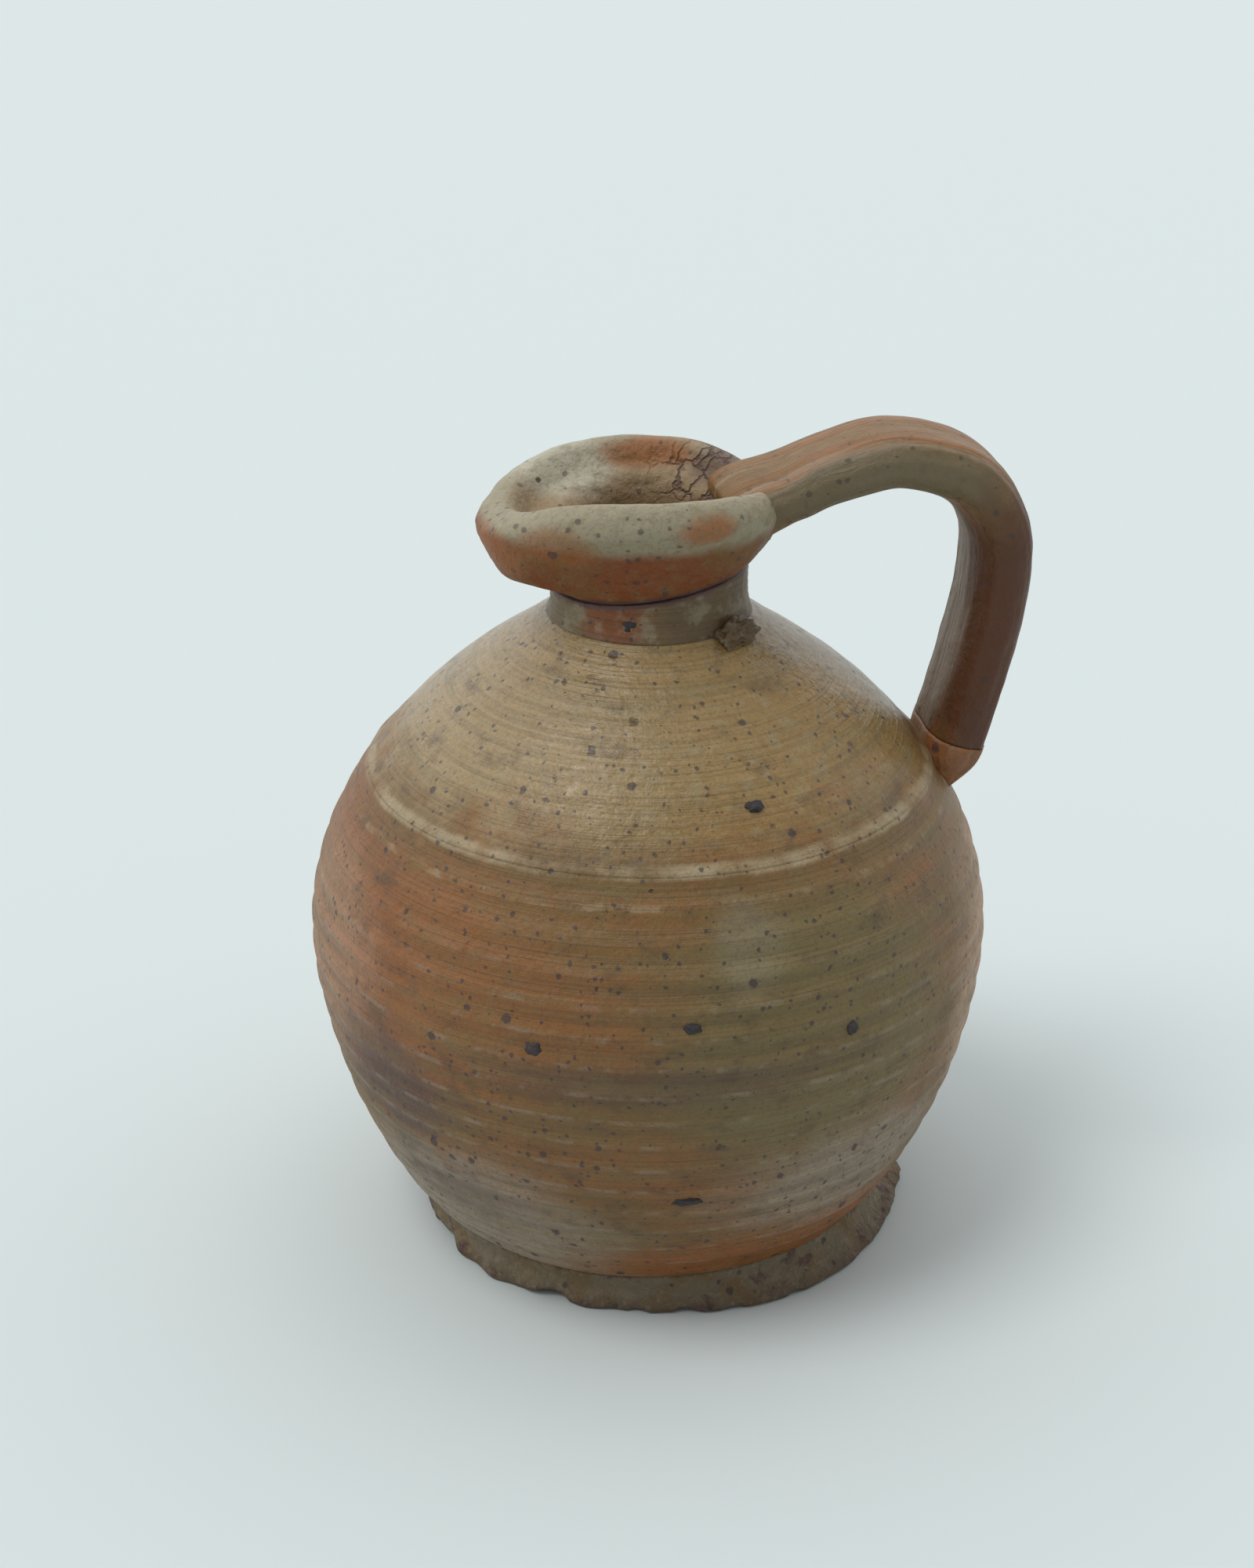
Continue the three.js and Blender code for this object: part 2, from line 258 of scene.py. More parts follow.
def bowl_section(angle):
    inside_floor = WAIST_HEIGHT + FLOOR
    outside = wall_ring(angle, WAIST_HEIGHT, LUTE_HEIGHT, BOWL_STEPS)
    inside = wall_ring(angle, inside_floor, LUTE_HEIGHT, BOWL_INSIDE_STEPS, WALL)[::-1]
    under = [(FLOOR_DISC, 0), (BASE_RADIUS, 0)]
    over = [(BASE_RADIUS, FLOOR), (FLOOR_DISC, FLOOR)]
    return [*under, *outside, *inside, *over]


def shoulder_section(angle):
    inside_top = NECK_BASE - SPIGOT_DEPTH - WALL
    outside = wall_ring(angle, LUTE_HEIGHT, NECK_BASE, SHOULDER_STEPS)
    inside = wall_ring(angle, LUTE_HEIGHT, inside_top, SHOULDER_INSIDE_STEPS, WALL)[::-1]
    return [*outside, (NECK_BORE, NECK_BASE), (NECK_BORE, NECK_BASE - SPIGOT_DEPTH), *inside]


def round_piece(name, section, has_floor=False):
    piece = ring_mesh(name, around(section), True)
    if has_floor:
        count = len(section(0))
        lower = [i * count for i in range(AROUND)]
        upper = [i * count + count - 1 for i in range(AROUND)]
        add_discs(piece, lower, upper)
    return piece


def add_discs(piece, lower, upper):
    """Closes the floor: the ring's innermost wall goes, and a disc closes each side."""
    work = bmesh.new()
    work.from_mesh(piece.data)
    work.verts.ensure_lookup_table()
    pairs = {frozenset((a, b)) for a, b in zip(lower, upper)}
    walls = [f for f in work.faces
             if sum(frozenset((e.verts[0].index, e.verts[1].index)) in pairs for e in f.edges) == 2]
    bmesh.ops.delete(work, geom=walls, context="FACES_ONLY")
    for loop in (lower, upper):
        work.faces.new([work.verts[i] for i in loop])
    bmesh.ops.recalc_face_normals(work, faces=work.faces)
    stray = [e for e in work.edges if not e.link_faces]
    bmesh.ops.delete(work, geom=stray, context="EDGES")
    work.to_mesh(piece.data)
    work.free()


bowl = round_piece("thrown_bowl", bowl_section, has_floor=True)
shoulder = round_piece("thrown_shoulder", shoulder_section)
print("bowl and shoulder:", len(bowl.data.vertices), len(shoulder.data.vertices), "points")

# %% [markdown]
# ## Neck and mouth
# The collar is short and its top slopes, lower at the spout, where the mouth was set on it. Fine
# turning lines cross it, and it flares a little where slip was smoothed onto the shoulder.

# %% Neck collar
NECK_STEPS = 24
NECK_FLARE = 1.3
NECK_OVERLAP = 0.6
MOUTH_UNDERCUT = 1.2


def seam(angle, radius):
    return NECK_BASE + NECK_HEIGHT + MOUTH_TILT * radius * math.cos(angle)


def neck_section(angle):
    top = seam(angle, NECK_RADIUS)
    low = NECK_BASE - NECK_OVERLAP
    x, y = NECK_RADIUS * math.cos(angle), NECK_RADIUS * math.sin(angle)
    outer = []
    for i in range(NECK_STEPS + 1):
        share = i / NECK_STEPS
        z = low + (top - low) * share
        flare = NECK_FLARE * (1 - share) ** 5
        lines = 0.12 * math.sin(z * 3.2 + 2 * lump(x, y, z, 20)) + 0.3 * lump(x, y, z, 12)
        outer.append((NECK_RADIUS + flare + lines * min(1, 8 * share + 0.3), z))
    tuck = [(NECK_RADIUS - MOUTH_UNDERCUT, top + 0.3)]
    return [*outer, *tuck, (NECK_BORE, top), (NECK_BORE, NECK_BASE - SPIGOT_DEPTH)]


neck = round_piece("neck_ring", neck_section)

# %% [markdown]
# The mouth is one clay ring whose cross-section changes with direction. Drawing the rim out and
# down on one side makes the pinched spout, so a single formula gives funnel, roll and spout
# together. It could be bent from a plain ring with a lattice, but then its sizes would be hidden.

# %% Mouth with its pinched spout
def mouth_section(angle):
    to_spout = max(0, -math.cos(angle))
    to_handle = max(0, math.cos(angle))
    reach = SPOUT_REACH * to_spout ** 2.8
    drop = SPOUT_DROP * to_spout ** 5 + RIM_DIP * to_handle ** 3
    crest = RIM_HEIGHT - drop
    base = seam(angle, NECK_RADIUS)
    underside = base + (crest - ROLL_DEPTH - base) * (1 - 0.53 * to_spout ** 5)
    lip = RIM_RADIUS + reach * 0.8
    corners = [
        (NECK_RADIUS - 1.4, base + 0.1),
        (NECK_RADIUS + 0.6, base + 1.1),
        (NECK_RADIUS + 2.8 + reach * 0.35, base + (underside - base) * 0.42),
        (RIM_RADIUS + 2.2 + reach * 0.7, underside),
        (RIM_RADIUS + ROLL_BULGE + reach, crest - ROLL_DEPTH * 0.58),
        (RIM_RADIUS + ROLL_BULGE - 1 + reach, crest - ROLL_DEPTH * 0.22),
        (lip + 0.8, crest),
        (lip - 2.5, crest - 0.6),
        (RIM_RADIUS - 5.5 + reach * 0.65, crest - 5),
        (THROAT_RADIUS + 2 + reach * 0.3, (crest + THROAT_HEIGHT) / 2 - 1),
        (THROAT_RADIUS, THROAT_HEIGHT - drop * 0.6),
        (THROAT_RADIUS, seam(angle, THROAT_RADIUS) - SPIGOT_DEPTH),
    ]
    line = smooth_line(corners, 8)
    out = []
    for n, (r, z) in enumerate(line):
        x, y = r * math.cos(angle), r * math.sin(angle)
        rough = 0.42 * lump(x, y, z, 9) + 0.22 * lump(x, y, 2 * z, 4)
        ease = min(1, n / 6, (len(line) - 1 - n) / 6)
        out.append((r + rough * ease, z + 0.5 * lump(x, y, z, 15) * ease))
    return out


mouth = round_piece("pinched_mouth", mouth_section)
print("neck and mouth:", len(neck.data.vertices), len(mouth.data.vertices), "points")

# %% [markdown]
# ## Strap handle
# A strap is pulled from a carrot of wet clay, so it has ridges along it and a shallow channel on
# its outer face. It is made here by carrying a soft-cornered section along a curve: over the rim,
# up to the crown and down to the shoulder. Its root is turned a little and pressed into the mouth.

# %% The strap's middle line and section
END_RADIUS = wall_radius(HANDLE_END)
ROUTE = [
    (RIM_RADIUS - 7, 0, RIM_HEIGHT - 13.5),
    (RIM_RADIUS - 3.5, 0, RIM_HEIGHT - 9.5),
    (RIM_RADIUS + 7, 0, RIM_HEIGHT - 5.5),
    (RIM_RADIUS + 18, 0, HANDLE_CROWN - 3.9),
    (HANDLE_REACH - 29, 0, HANDLE_CROWN - 0.7),
    (HANDLE_REACH - 11, 0, HANDLE_CROWN - 6),
    (HANDLE_REACH - 1.5, 0, HANDLE_CROWN - 20),
    (HANDLE_REACH - 1, 0, HANDLE_CROWN - 38),
    (HANDLE_REACH - 4.5, 0, HANDLE_CROWN - 56),
    (END_RADIUS + 9, 0, HANDLE_END),
]
STRAP_SIDES = 72
ROUTE_STEPS = 16


def soft(value, power):
    return math.copysign(abs(value) ** power, value)


def strap_ring(centre, along, width, thickness, twist, ridges):
    up = Vector((-along.z, 0, along.x)).normalized()
    side = up.cross(along).normalized()
    turned_up = up * math.cos(twist) + side * math.sin(twist)
    turned_side = side * math.cos(twist) - up * math.sin(twist)
    ring = []
    for i in range(STRAP_SIDES):
        a = TURN * i / STRAP_SIDES
        across = width / 2 * soft(math.cos(a), 0.72)
        channel = 0.9 * (1 - abs(math.cos(a))) if math.sin(a) > 0 else 0
        rise = thickness / 2 * soft(math.sin(a), 0.75) - channel
        pulled = ridges * lump(3 * math.cos(a) + 9, 3 * math.sin(a), centre.z / 60, 0.62)
        point = centre + turned_side * across + turned_up * rise
        out = (turned_side * across + turned_up * rise).normalized()
        rough = 0.22 * lump(point.x, point.y, point.z, 5)
        ring.append(tuple(point + out * (pulled + rough)))
    return ring


def strap():
    line = [Vector(p) for p in smooth_line(ROUTE, ROUTE_STEPS)]
    rings = []
    last = len(line) - 1
    for i, centre in enumerate(line):
        share = i / last
        along = (line[min(i + 1, last)] - line[max(i - 1, 0)]).normalized()
        root = max(0, 1 - share / 0.2)
        width = STRAP_WIDTH + 4 * root ** 2 - 9 * max(0, 1 - share / 0.06)
        thickness = STRAP_THICKNESS + 5 * root + (STRAP_LOWER - STRAP_THICKNESS) * min(1, share / 0.6)
        thickness *= 1 - 0.6 * max(0, 1 - share / 0.07)
        twist = -STRAP_TWIST * max(0, 1 - share / 0.3)
        rings.append(strap_ring(centre, along, width, thickness, twist, 0.42))
    return ring_mesh("pulled_strap", rings, False, caps=True)


handle = strap()

# %% [markdown]
# Under the strap's end the potter pressed a wedge of clay against the shoulder. It goes on from
# the strap's last ring, thins as it goes down and leans in to meet the wall.

# %% Wedge of clay under the strap's end
PAD_STEPS = 12


def root_pad():
    line = [Vector(p) for p in smooth_line(ROUTE, ROUTE_STEPS)]
    along = (line[-1] - line[-2]).normalized()
    inward = Vector((-1, 0, -0.55)).normalized()
    rings = []
    for i in range(PAD_STEPS + 1):
        share = i / PAD_STEPS
        down = PAD_LENGTH * share
        aside = 4.2 * share ** 2
        swell = math.sin(math.pi * min(1, share * 1.4)) * 0.8
        width = STRAP_WIDTH + 0.4 + swell - 9 * share ** 2
        thickness = (STRAP_LOWER + 0.4 + swell) * (1 - 0.55 * share ** 1.6)
        centre = line[-1] + along * down + inward * aside
        rings.append(strap_ring(centre, along, width, thickness, 0, 0.5))
    return ring_mesh("root_wedge", rings, False, caps=True)


pad = root_pad()
print("strap and wedge:", len(handle.data.vertices), len(pad.data.vertices), "points")

# %% [markdown]
# ## Foot
# The foot is a ring of clay thumbed outwards, so its edge waves, and years of use have chipped
# it. The waves come from sines and the chips from noise that bites where it passes a threshold.

# %% Thumbed and chipped foot ring
CHIP_FROM, CHIP_DEPTH = 0.12, 5.5


def foot_section(angle):
    seat = wall_radius(FOOT_HEIGHT)
    uneven = 0.5 + 0.5 * math.sin(3 * angle + 2)
    thumb = THUMB_DEPTH * (uneven * math.sin(THUMB_MARKS * angle) + math.sin(5 * angle + 1))
    edge = FOOT_RADIUS + FOOT_OFFSET * math.cos(angle) + thumb
    x, y = edge * math.cos(angle), edge * math.sin(angle)
    chip = max(0, lump(x, y, 3, 9) - CHIP_FROM) * CHIP_DEPTH
    corners = [
        (BASE_RADIUS - 1, 0),
        (edge - 3 - chip, 0),
        (edge - 0.7 - chip, 0.25 + chip * 0.35),
        (edge - chip * 0.5, 1.7 + chip * 0.5),
        (edge * 0.62 + seat * 0.38, FOOT_HEIGHT * 0.45),
        (edge * 0.25 + seat * 0.75, FOOT_HEIGHT * 0.75),
        (seat + 0.9, FOOT_HEIGHT + 0.8),
        (seat - 1.2, FOOT_HEIGHT + 1.6),
    ]
    line = smooth_line(corners, 6)
    out = []
    for n, (r, z) in enumerate(line):
        px, py = r * math.cos(angle), r * math.sin(angle)
        rough = (0.35 * lump(px, py, z, 3.5) + 0.3 * lump(px, py, z, 8)) * min(1, z / 1.5)
        ease = min(1, (len(line) - 1 - n) / 8)
        out.append((r + rough * ease, max(0, z + rough * 0.4 * ease)))
    return [*out, (WAIST_RADIUS - 3, WAIST_HEIGHT - 2)]


FOOT_AROUND = 560
foot = ring_mesh("thumbed_foot", around(foot_section, FOOT_AROUND), True)
print("foot:", len(foot.data.vertices), "points")

# %% [markdown]
# ## Lump and stones
# A dab of clay was left at the neck, and dark iron-rich stones came to the surface in the fire.
# A ball of small triangles, squeezed and roughened with noise, makes each of them.

# %% Clay lump and grit stones
def pebble(name, centre, sizes, angle, lean, rough, detail):
    bpy.ops.mesh.primitive_ico_sphere_add(subdivisions=detail, radius=1)
    piece = bpy.context.object
    piece.name = name
    piece.data.name = name
    for v in piece.data.vertices:
        p = v.co.copy()
        p *= 1 + rough * noise.noise(p * 1.7 + Vector(centre)) + 0.4 * rough * noise.noise(p * 5)
        p = Vector((p.x * sizes[0], p.y * sizes[1], p.z * sizes[2]))
        out = p.x * math.cos(lean) - p.z * math.sin(lean)
        z = p.x * math.sin(lean) + p.z * math.cos(lean)
        x = out * math.cos(angle) - p.y * math.sin(angle)
        y = out * math.sin(angle) + p.y * math.cos(angle)
        v.co = Vector((x + centre[0], y + centre[1], z + centre[2])) * MM
    piece.data.polygons.foreach_set("use_smooth", [True] * len(piece.data.polygons))
    return piece


LUMP_ANGLE = math.radians(-46)
LUMP_OUT = NECK_RADIUS + 1.6
LUMP_PLACE = (LUMP_OUT * math.cos(LUMP_ANGLE), LUMP_OUT * math.sin(LUMP_ANGLE), 170.5)
dab = pebble("clay_dab", LUMP_PLACE, (4, 6.5, 4.2), LUMP_ANGLE, 0.3, 0.5, 5)

STONES = {
    "neck_stone": (-110, 175.5, 5, 4),
    "shoulder_stone": (-75, 142, 5, 3.6),
    "belly_stone_left": (-117, 91, 5.4, 5.4),
    "belly_stone_middle": (-92, 98, 4.8, 3.4),
    "belly_stone_right": (-65, 91, 3.4, 5.4),
    "low_stone": (-92, 46, 8.5, 3.4),
}
STONE_DEPTH = 3.4
STONE_SUNK = STONE_DEPTH * 0.34


def wall_at(stone, height):
    """Radius and lean of the clay that a stone sits in; the neck is upright."""
    if stone == "neck_stone":
        return NECK_RADIUS, 0
    lean = math.atan2(wall_radius(height - 1) - wall_radius(height + 1), 2)
    return wall_radius(height) - HELD_BACK, lean


stones = {}
for stone, (degrees, height, width, tall) in STONES.items():
    angle = math.radians(degrees)
    radius, lean = wall_at(stone, height)
    middle = radius - STONE_SUNK
    place = (middle * math.cos(angle), middle * math.sin(angle), height)
    sizes = (STONE_DEPTH / 2, width / 2, tall / 2)
    stones[stone] = pebble("grit_" + stone, place, sizes, angle, lean, 0.3, 4)
print("stones:", sorted(stones))

# %% [markdown]
# ## Effects that the clays share
# Every clay here has specks of iron, fine lines from the wheel, and cloudy patches where ash or
# flame touched it. Each effect is a node group with named inputs, built once. A group puts out a
# mask only, so each clay decides what the mask does to its own colour, gloss and relief.

# %% Small helpers for node trees
def node(tree, kind, **settings):
    made = tree.nodes.new(kind)
    for key, value in settings.items():
        setattr(made, key, value)
    return made


def feed(tree, socket, value):
    if isinstance(value, bpy.types.NodeSocket):
        tree.links.new(value, socket)
    else:
        socket.default_value = value


def maths(tree, operation, a, b=0.0, clamp=False):
    made = node(tree, "ShaderNodeMath", operation=operation, use_clamp=clamp)
    feed(tree, made.inputs[0], a)
    feed(tree, made.inputs[1], b)
    return made.outputs[0]


def vector_maths(tree, operation, a, b):
    made = node(tree, "ShaderNodeVectorMath", operation=operation)
    feed(tree, made.inputs[0], a)
    feed(tree, made.inputs[1], b)
    return made.outputs["Value" if operation == "LENGTH" else "Vector"]


def ramp(tree, value, low, high, to_low=0.0, to_high=1.0):
    made = node(tree, "ShaderNodeMapRange", interpolation_type="SMOOTHSTEP")
    for socket, given in zip(made.inputs, (value, low, high, to_low, to_high)):
        feed(tree, socket, given)
    return made.outputs[0]


def cloud(tree, vector, scale, detail=4.0, roughness=0.6):
    made = node(tree, "ShaderNodeTexNoise")
    feed(tree, made.inputs["Vector"], vector)
    feed(tree, made.inputs["Scale"], scale)
    feed(tree, made.inputs["Detail"], detail)
    feed(tree, made.inputs["Roughness"], roughness)
    return made.outputs[0]


def new_group(name, inputs):
    tree = bpy.data.node_groups.new(name, "ShaderNodeTree")
    for label, kind, default in inputs:
        socket = tree.interface.new_socket(name=label, in_out="INPUT", socket_type=kind)
        socket.default_value = default
    tree.interface.new_socket(name="Mask", in_out="OUTPUT", socket_type="NodeSocketFloat")
    start = node(tree, "NodeGroupInput")
    end = node(tree, "NodeGroupOutput")
    place = node(tree, "ShaderNodeTexCoord").outputs["Object"]
    return tree, start.outputs, end.inputs[0], place


# %% [markdown]
# Specks are cells of a Voronoi texture, kept by chance. Patches and wheel lines are noise between
# two thresholds, stretched or packed close. A region is an ellipsoid with a ragged edge. Ridges
# repeat the mesh's own spiral, and hair cracks are the borders between Voronoi cells. A painted
# picture would do the same, but these stay sharp at any distance and follow no seam.

# %% Specks, patches, wheel lines, regions, ridges and cracks
FLOAT, VECTOR = "NodeSocketFloat", "NodeSocketVector"


def specks_group():
    """Small dark dots of uneven size, as iron grains bleed through a glaze."""
    tree, given, out, place = new_group("iron_specks", [
        ("Scale", FLOAT, 400.0), ("Share", FLOAT, 0.3), ("Size", FLOAT, 0.3)])
    noisy = node(tree, "ShaderNodeTexNoise")
    feed(tree, noisy.inputs["Vector"], place)
    feed(tree, noisy.inputs["Scale"], 700.0)
    wobble = vector_maths(tree, "MULTIPLY", noisy.outputs["Color"], (0.0012, 0.0012, 0.0012))
    moved = vector_maths(tree, "ADD", place, wobble)
    cells = node(tree, "ShaderNodeTexVoronoi")
    feed(tree, cells.inputs["Vector"], moved)
    feed(tree, cells.inputs["Scale"], given["Scale"])
    split = node(tree, "ShaderNodeSeparateColor")
    feed(tree, split.inputs[0], cells.outputs["Color"])
    chosen = maths(tree, "LESS_THAN", split.outputs[0], given["Share"])
    size = maths(tree, "MULTIPLY", maths(tree, "ADD", split.outputs[1], 0.35), given["Size"])
    dot = ramp(tree, cells.outputs["Distance"], maths(tree, "MULTIPLY", size, 0.55), size, 1.0, 0.0)
    feed(tree, out, maths(tree, "MULTIPLY", dot, chosen, clamp=True))
    return tree


def patches_group():
    """Cloudy patches with soft, broken edges."""
    tree, given, out, place = new_group("cloudy_patches", [
        ("Scale", FLOAT, 30.0), ("Low", FLOAT, 0.5), ("High", FLOAT, 0.6),
        ("Offset", VECTOR, (0, 0, 0)), ("Stretch", VECTOR, (1, 1, 1))])
    stretched = vector_maths(tree, "MULTIPLY", place, given["Stretch"])
    moved = vector_maths(tree, "ADD", stretched, given["Offset"])
    value = cloud(tree, moved, given["Scale"], 6.0, 0.62)
    feed(tree, out, ramp(tree, value, given["Low"], given["High"]))
    return tree


def lines_group():
    """Level lines from the wheel: noise drawn out round the pot and packed close up it."""
    tree, given, out, place = new_group("wheel_lines", [
        ("Fineness", FLOAT, 700.0), ("Low", FLOAT, 0.4), ("High", FLOAT, 0.65)])
    squeeze = node(tree, "ShaderNodeCombineXYZ")
    split = node(tree, "ShaderNodeSeparateXYZ")
    feed(tree, split.inputs[0], place)
    for axis, fineness in enumerate((18.0, 18.0, given["Fineness"])):
        feed(tree, squeeze.inputs[axis], maths(tree, "MULTIPLY", split.outputs[axis], fineness))
    value = cloud(tree, squeeze.outputs[0], 1.0, 3.0, 0.55)
    feed(tree, out, ramp(tree, value, given["Low"], given["High"]))
    return tree


def region_group():
    """One placed patch: 1 inside an ellipsoid round a point, 0 outside, with a ragged edge."""
    tree, given, out, place = new_group("placed_region", [
        ("Centre", VECTOR, (0, 0, 0)), ("Reach", VECTOR, (0.02, 0.02, 0.02)),
        ("Edge", FLOAT, 0.35), ("Ragged", FLOAT, 0.5)])
    offset = vector_maths(tree, "SUBTRACT", place, given["Centre"])
    share = vector_maths(tree, "DIVIDE", offset, given["Reach"])
    far = vector_maths(tree, "LENGTH", share, (0, 0, 0))
    noisy = maths(tree, "SUBTRACT", cloud(tree, place, 75.0, 7.0, 0.65), 0.5)
    value = maths(tree, "ADD", far, maths(tree, "MULTIPLY", noisy, given["Ragged"]))
    low = maths(tree, "SUBTRACT", 1.0, given["Edge"])
    high = maths(tree, "ADD", 1.0, given["Edge"])
    feed(tree, out, ramp(tree, value, low, high, 1.0, 0.0))
    return tree


def ridge_group():
    """1 along the crest of each throwing ridge, where the mesh has it, and 0 in the groove."""
    tree, given, out, place = new_group("throwing_ridge", [("Low", FLOAT, 0.2), ("High", FLOAT, 0.9)])
    split = node(tree, "ShaderNodeSeparateXYZ")
    feed(tree, split.inputs[0], place)
    turn = maths(tree, "ARCTAN2", split.outputs[1], split.outputs[0])
    climb = maths(tree, "MULTIPLY", split.outputs[2], TURN / (RING_SPACING * MM))
    wave = maths(tree, "SINE", maths(tree, "ADD", climb, turn))
    feed(tree, out, ramp(tree, wave, given["Low"], given["High"]))
    return tree


def cracks_group():
    """Thin wandering cracks between plates of clay."""
    tree, given, out, place = new_group("hair_cracks", [("Scale", FLOAT, 120.0), ("Width", FLOAT, 0.05)])
    noisy = node(tree, "ShaderNodeTexNoise")
    feed(tree, noisy.inputs["Vector"], place)
    feed(tree, noisy.inputs["Scale"], 260.0)
    wobble = vector_maths(tree, "MULTIPLY", noisy.outputs["Color"], (0.005, 0.005, 0.005))
    cells = node(tree, "ShaderNodeTexVoronoi", feature="DISTANCE_TO_EDGE")
    feed(tree, cells.inputs["Vector"], vector_maths(tree, "ADD", place, wobble))
    feed(tree, cells.inputs["Scale"], given["Scale"])
    feed(tree, out, ramp(tree, cells.outputs["Distance"], 0.0, given["Width"], 1.0, 0.0))
    return tree


MAKERS = (specks_group, patches_group, lines_group, region_group, ridge_group, cracks_group)
GROUPS = {made.name: made for made in (maker() for maker in MAKERS)}
print("shared effects:", sorted(GROUPS))


# %% [markdown]
# ## Clays
# A clay's colour is built as the kiln built it: the body colour, then flashed regions, then ash,
# then iron, with a few layers of painted sheen and painted shade among them. A small class keeps
# the running colour, and each layer covers it by a mask.

# %% A clay that takes layers
class Clay:
    """A Principled material whose colour, roughness and relief are built up in layers."""

    def __init__(self, name, color, roughness):
        self.material = bpy.data.materials.new(name)
        self.material.use_nodes = True
        self.tree = self.material.node_tree
        self.shader = self.tree.nodes["Principled BSDF"]
        self.place = node(self.tree, "ShaderNodeTexCoord").outputs["Object"]
        self.color = color
        self.roughness = roughness
        self.height = None

    def group(self, group_name, **values):
        made = node(self.tree, "ShaderNodeGroup", node_tree=GROUPS[group_name])
        for label, value in values.items():
            feed(self.tree, made.inputs[label], value)
        return made.outputs[0]

    def region(self, centre, reach, edge=0.35, ragged=0.7):
        return self.group(
            "placed_region", Centre=tuple(c * MM for c in centre),
            Reach=tuple(c * MM for c in reach), Edge=edge, Ragged=ragged)

    def times(self, a, b):
        return maths(self.tree, "MULTIPLY", a, b, clamp=True)

    def cover(self, mask, color, amount=1.0):
        mixer = node(self.tree, "ShaderNodeMix", data_type="RGBA")
        feed(self.tree, mixer.inputs[0], self.times(mask, amount))
        feed(self.tree, mixer.inputs[6], self.rgba(self.color))
        feed(self.tree, mixer.inputs[7], self.rgba(color))
        self.color = mixer.outputs[2]

    @staticmethod
    def rgba(color):
        return color if isinstance(color, bpy.types.NodeSocket) else (*color, 1.0)

    def rougher(self, mask, value):
        mixer = node(self.tree, "ShaderNodeMix", data_type="FLOAT")
        feed(self.tree, mixer.inputs[0], mask)
        feed(self.tree, mixer.inputs[2], self.roughness)
        feed(self.tree, mixer.inputs[3], value)
        self.roughness = mixer.outputs[0]

    def raise_by(self, mask, millimetres):
        step = maths(self.tree, "MULTIPLY", mask, millimetres * MM)
        self.height = step if self.height is None else maths(self.tree, "ADD", self.height, step)

    def cover_regions(self, region_list):
        """Covers one placed region after another: middle, reach, edge, raggedness, colour, amount."""
        for middle, reach, edge, ragged, color, amount in region_list:
            self.cover(self.region(middle, reach, edge, ragged), color, amount)

    def band(self, height, width, tilt=0.0, wander=3.2):
        """Mask of a line round the pot at a height in millimetres, level or tilted."""
        tree = self.tree
        split = node(tree, "ShaderNodeSeparateXYZ")
        feed(tree, split.inputs[0], self.place)
        level = maths(tree, "SUBTRACT", split.outputs[2], maths(tree, "MULTIPLY", split.outputs[0], tilt))
        noisy = maths(tree, "SUBTRACT", cloud(tree, self.place, 60.0), 0.5)
        wavered = maths(tree, "ADD", level, maths(tree, "MULTIPLY", noisy, wander * MM))
        off = maths(tree, "ABSOLUTE", maths(tree, "SUBTRACT", wavered, height * MM))
        return ramp(tree, off, width * MM * 0.35, width * MM, 1.0, 0.0)

    def finish(self):
        feed(self.tree, self.shader.inputs["Base Color"], self.rgba(self.color))
        feed(self.tree, self.shader.inputs["Roughness"], self.roughness)
        if self.height is not None:
            relief = node(self.tree, "ShaderNodeBump")
            relief.inputs["Strength"].default_value = 1.0
            relief.inputs["Distance"].default_value = 1.0
            feed(self.tree, relief.inputs["Height"], self.height)
            feed(self.tree, self.shader.inputs["Normal"], relief.outputs[0])
        return self.material


# %% [markdown]
# Colours are named by what they look like on clay. They are linear values, so they read darker as
# numbers than they look, and they hold for this scene's own light.

# %% Colours of the kiln, as linear values
OCHRE = (0.32, 0.207, 0.066)
TAN = (0.2, 0.105, 0.03)
EARTH = (0.18, 0.1, 0.026)
FLAME = (0.31, 0.098, 0.015)
# Painted sheen: a pale pink that stands for the room's light glancing off the wall's edges.
PAINTED_EDGE_SHEEN = (0.5, 0.31, 0.19)
OLIVE = (0.185, 0.14, 0.048)
PURPLE = (0.095, 0.045, 0.038)
LILAC = (0.34, 0.275, 0.2)
STRAW = (0.44, 0.36, 0.22)
ASH = (0.33, 0.295, 0.195)
IRON = (0.04, 0.027, 0.028)
RUST = (0.205, 0.05, 0.006)
UMBER = (0.075, 0.04, 0.018)
NECK_BROWN = (0.18, 0.118, 0.046)
DISH_TAN = (0.3, 0.2, 0.1)
PALE_RIM = (0.5, 0.47, 0.36)
GREY_GREEN = (0.155, 0.12, 0.062)
SCORCHED = (0.08, 0.021, 0.003)
WEDGE_RED = (0.3, 0.13, 0.05)
FOOT_BROWN = (0.2, 0.155, 0.095)
BURNT = (0.03, 0.024, 0.026)
PALE_SWEEP = (0.625, 0.68, 0.672)
